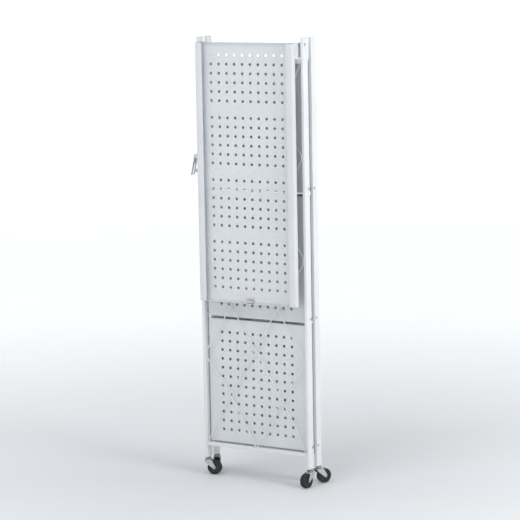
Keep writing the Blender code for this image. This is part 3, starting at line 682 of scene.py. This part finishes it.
def wheel_hub(key, wheel):
    """The hub, with six moulded ribs on each face."""
    bm = bmesh.new()
    profile = mirrored([(radius, WHEEL_HALF - inset) for radius, inset in HUB_FACE])
    add_lathe(bm, profile, wheel, 40, ring=True)
    rib = Matrix.Diagonal((6.4 * MM, 1.1 * MM, 1.6 * MM, 1))
    for face in (-1, 1):
        shift = Matrix.Translation(Vector((8.8, 0, face * 5.4)) * MM)
        for k in range(6):
            turn = Matrix.Rotation(math.radians(60 * k + 15), 4, "Z")
            bmesh.ops.create_cube(bm, size=1.0, matrix=wheel @ turn @ shift @ rib)
    piece(f"{key}_hub", bm, HUB_NYLON, f"{key}_wheel")


def axle(key, wheel):
    """A domed bolt head on one side, a hex nut with thread end on the other."""
    e = AXLE_HALF
    profile = [(0, e + 1.15), (1.6, e + 1.05), (2.8, e + 0.7), (3.6, e + 0.1), (3.6, e),
               (2.35, e), (2.35, -e), (3.9, -e), (3.9, -e - 0.2), (2.0, -e - 0.2),
               (2.0, -e - 1.1), (1.7, -e - 1.3), (0, -e - 1.3)]
    nut_r, nut_depth = 3.5 * MM, 0.9 * MM
    bm = bmesh.new()
    add_lathe(bm, profile, wheel, 28)
    bmesh.ops.create_cone(bm, cap_ends=True, segments=6, radius1=nut_r, radius2=nut_r,
                          depth=nut_depth,
                          matrix=wheel @ Matrix.Translation((0, 0, (-e - 0.6) * MM)))
    piece(f"{key}_axle_bolt", bm, RIVET_ZINC, f"{key}_swivel",
          replaces=f"{key}_caster_axle")


def caster(which, hand, side, outward):
    key = f"{which}_{hand}"
    foot = Matrix.Translation(rack_point((side * CASTER_X, outward * CASTER_Y, 0)))
    wheel = (foot @ Matrix.Rotation(math.radians(CASTER_TURN[key]), 4, "Z")
             @ Matrix.Translation(Vector(WHEEL_OFFSET) * MM)
             @ Matrix.Rotation(math.pi / 2, 4, "X"))
    tyre(key, wheel)
    wheel_hub(key, wheel)
    axle(key, wheel)
    bm = bmesh.new()
    add_lathe(bm, STEM_PROFILE, foot, 36)
    piece(f"{key}_stem_turned", bm, ZINC, f"frame_{which}",
          replaces=f"{key}_caster_stem")


for which, outward in FRAMES:
    for hand, side in SIDES:
        caster(which, hand, side, outward)


# ------------------------------------------------------------------ small fittings
def bracket_rivets():
    """Rivet heads that hold the catch bracket to the post."""
    head = [(0, 1.1), (0.9, 1.0), (1.6, 0.7), (2.0, 0.2), (2.0, -0.1), (0, -0.1)]
    bm = bmesh.new()
    for y in (-28.5, -15.5):
        for z in (898.0, 912.0):
            place = Matrix.Translation(rack_point((-171.7, y, z))) @ along_x(-1)
            add_lathe(bm, head, place, 16)
    piece("side_catch_bracket_rivets", bm, RIVET_ZINC, "frame_front", sharp=40)


def crossbar_welds(which, outward):
    """Spot welds under and over both crossbars' ends, where they meet the posts."""
    bm = bmesh.new()
    for bottom, top in ((90.6, 100.0), (1163.3, 1172.3)):
        for z in (bottom - 0.25, top + 0.25):
            for side in (-1, 1):
                for k in range(9):
                    size = 0.9 + 0.25 * rng.random()
                    add_nugget(bm, (side * 160.55, outward * (10.5 + k * 2.6), z),
                               (0.75 * size, 1.5 * size, 0.45 * size))
    piece(f"{which}_crossbar_welds", bm, WELD_COAT, f"frame_{which}", sharp=60)


bracket_rivets()
for which, outward in FRAMES:
    crossbar_welds(which, outward)


# ------------------------------------------------------------------ finishes on loaded pieces
def dress(material, *names):
    for name in names:
        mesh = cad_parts[name].data
        mesh.materials.clear()
        mesh.materials.append(material)
        for polygon in mesh.polygons:
            polygon.use_smooth = True
        mesh.set_sharp_from_angle(angle=math.radians(32.0))


for which, _ in FRAMES:
    for hand, _ in SIDES:
        dress(RACK_COAT, f"{which}_{hand}_post")
        dress(CAP_PLASTIC, f"{which}_{hand}_post_cap")
        dress(ZINC, f"{which}_{hand}_caster_fork")
    dress(RACK_COAT, f"{which}_lower_crossbar", f"{which}_upper_crossbar")
dress(RIVET_ZINC, *(f"shelf_{number}_hinge_rod" for number in (1, 2, 3)))
dress(ZINC, "side_catch_bracket", "side_catch_lever", "side_catch_keeper")
dress(LATCH_ZINC, "board_latch_housing", "board_latch_tongue")


# ------------------------------------------------------------------ studio
def floor_material():
    s = Surface("studio_floor")
    cloud = s.remap(s.noise(scale=1.6, detail=2.0))
    s.set("Base Color", s.mix(cloud, (0.75, 0.765, 0.785), (0.77, 0.785, 0.805)))
    # painted light: the floor glows more strongly further out, as a lit studio wall looks
    distance = s.add("ShaderNodeVectorMath", {0: s.coords}, operation="LENGTH")
    painted_glow = s.remap(distance.outputs["Value"], to=(0.0, 0.54), over=(-0.5, 3.4),
                   interpolation_type="SMOOTHSTEP")
    s.set("Emission Color", (0.97, 0.985, 1.0))
    s.set("Emission Strength", painted_glow)
    s.set("Roughness", 0.6)
    return s.material


def studio_floor():
    """A round floor that sweeps up into a low wall all the way round."""
    flat_r, sweep_r, wall_top = 7200.0, 1200.0, 3000.0
    profile = [(radius, 0.0) for radius in (0.0, 1000.0, 3000.0, 5000.0, flat_r)]
    profile += arc(flat_r, sweep_r, sweep_r, range(-80, 1, 10))
    profile += [(flat_r + sweep_r, wall_top)]
    bm = bmesh.new()
    add_lathe(bm, profile, Matrix.Identity(4), 96)
    ob = mesh_object("studio_floor", bm)
    ob.data.materials.append(floor_material())


def area_light(name, at, aim, size, watts, color=(1, 1, 1)):
    """A rectangular light; places and sizes are metres."""
    light = bpy.data.lights.new(name, "AREA")
    light.shape = "RECTANGLE"
    light.size, light.size_y = size
    light.energy = watts
    light.color = color
    ob = bpy.data.objects.new(name, light)
    ob.location = at
    ob.rotation_euler = (Vector(aim) - Vector(at)).to_track_quat("-Z", "Y").to_euler()
    bpy.context.scene.collection.objects.link(ob)


def sky():
    world = bpy.data.worlds.new("studio")
    bpy.context.scene.world = world
    world.use_nodes = True
    background = world.node_tree.nodes["Background"]
    background.inputs["Color"].default_value = (0.955, 0.975, 1.0, 1.0)
    background.inputs["Strength"].default_value = 0.30


def camera():
    """Stands to the right of the board's face, a little above the rack."""
    data = bpy.data.cameras.new("camera")
    data.sensor_fit = "HORIZONTAL"
    data.sensor_width = 36.0
    data.lens = 160.1166
    data.clip_end = 60.0
    ob = bpy.data.objects.new("camera", data)
    # columns are the camera's right, up and backward directions, then its place in metres
    ob.matrix_world = Matrix(((0.8529894, -0.0594229, 0.5185344, 3.3029566),
                              (0.5216126, 0.1316025, -0.8429716, -5.3507483),
                              (-0.0181486, 0.9895199, 0.1432513, 1.5250770),
                              (0.0, 0.0, 0.0, 1.0)))
    bpy.context.scene.collection.objects.link(ob)
    bpy.context.scene.camera = ob


studio_floor()
sky()
area_light("key", at=(3.4, -0.5, 1.9), aim=(0, 0, 0.75), size=(1.2, 1.8), watts=52.0,
           color=(1.0, 0.995, 0.985))
area_light("fill", at=(-0.6, -4.4, 2.6), aim=(0, 0, 0.9), size=(2.4, 1.8), watts=8.0,
           color=(0.965, 0.98, 1.0))
area_light("front_top", at=(-0.4, -2.6, 4.0), aim=(0, 0, 0.5), size=(2.4, 1.6), watts=46.0,
           color=(0.98, 0.99, 1.0))
area_light("top", at=(0.2, 0.3, 4.4), aim=(0, 0, 0.0), size=(2.6, 2.6), watts=34.0)
bpy.context.scene.view_settings.view_transform = "Standard"
camera()

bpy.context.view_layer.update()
